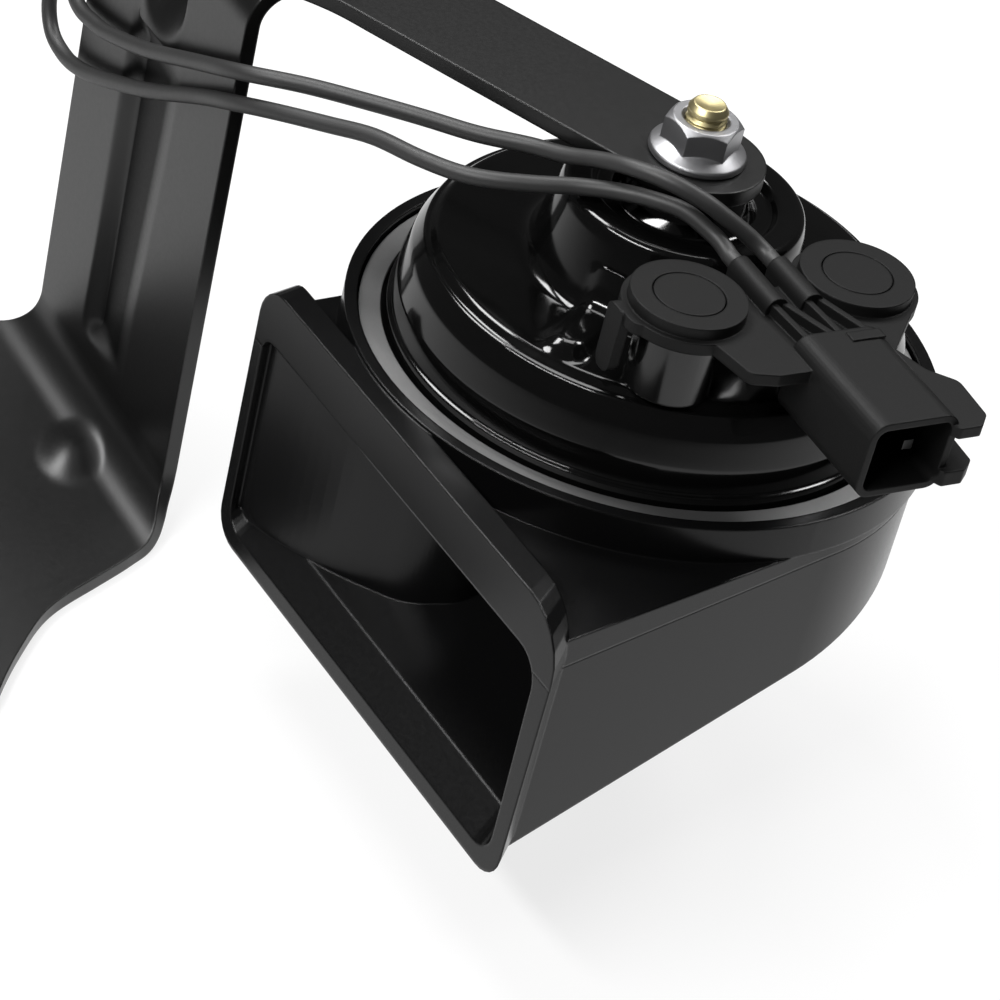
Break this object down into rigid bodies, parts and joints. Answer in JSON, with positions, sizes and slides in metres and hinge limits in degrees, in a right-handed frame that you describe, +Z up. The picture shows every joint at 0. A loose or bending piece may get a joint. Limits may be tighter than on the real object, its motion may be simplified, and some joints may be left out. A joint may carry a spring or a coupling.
{
  "type": "car horn",
  "caption": "Electric car horn: glossy round housing on a spiral trumpet with a side mouth, hung by its stud from a folded sheet bracket, with a two-pin terminal cover and two leads.",
  "frame": {"origin": "underside of the bracket's foot, on the axis of its bolt hole", "axes": "+Z up along the horn's stud, -Y the way the trumpet's mouth faces, +X from the bracket towards the horn and its socket"},
  "size_m": [0.1782, 0.1454, 0.1073],
  "materials": {
    "trumpet_plastic": "satin moulded black plastic",
    "gasket_rubber": "black rubber",
    "spring_steel": "bare spring steel",
    "bare_steel": "bare satin steel",
    "housing_paint": "gloss black paint on pressed steel",
    "yellow_zinc": "yellow zinc plate",
    "bobbin_plastic": "natural moulded plastic",
    "copper_wire": "enamelled copper wire",
    "contact_brass": "bare brass",
    "bracket_paint": "satin black paint on folded steel sheet",
    "bright_zinc": "bright zinc plate",
    "cover_plastic": "matt moulded black plastic",
    "bush_plastic": "glossy moulded black plastic",
    "pin_metal": "tinned copper alloy",
    "lead_sheath": "satin black cable sheath"
  },
  "bodies": {
    "root": {"trumpet_top": "trumpet_plastic", "trumpet_duct": "trumpet_plastic", "gasket": "gasket_rubber", "diaphragm": "spring_steel", "clamp_ring": "bare_steel", "housing": "housing_paint", "core_stud": "yellow_zinc", "coil_bobbin": "bobbin_plastic", "coil_winding": "copper_wire", "breaker_bracket": "bare_steel", "breaker_insulators": "bobbin_plastic", "breaker_rivet": "contact_brass", "fixed_arm": "contact_brass", "moving_arm": "contact_brass", "fixed_contact": "bare_steel", "moving_contact": "bare_steel", "bracket": "bracket_paint", "flange_nut": "bright_zinc", "terminal_cover": "cover_plastic", "cap_plug_left": "cover_plastic", "cap_plug_right": "cover_plastic", "terminal_bush_left": "bush_plastic", "terminal_bush_right": "bush_plastic", "terminal_rivet_left": "contact_brass", "terminal_rivet_right": "contact_brass", "pin_left": "pin_metal", "pin_right": "pin_metal", "lead_lower": "lead_sheath", "lead_upper": "lead_sheath", "lead_plug": "cover_plastic"},
    "armature": {"armature": "bare_steel", "armature_washer": "bare_steel"}
  },
  "joints": [
    {"name": "armature_travel", "type": "slide", "parent": "root", "child": "armature", "axis": [0, 0, 1], "range_m": [-0.0004, 0.0008], "stiffness_N_per_m": 20000, "deforming": ["diaphragm", "moving_arm"]}
  ]
}
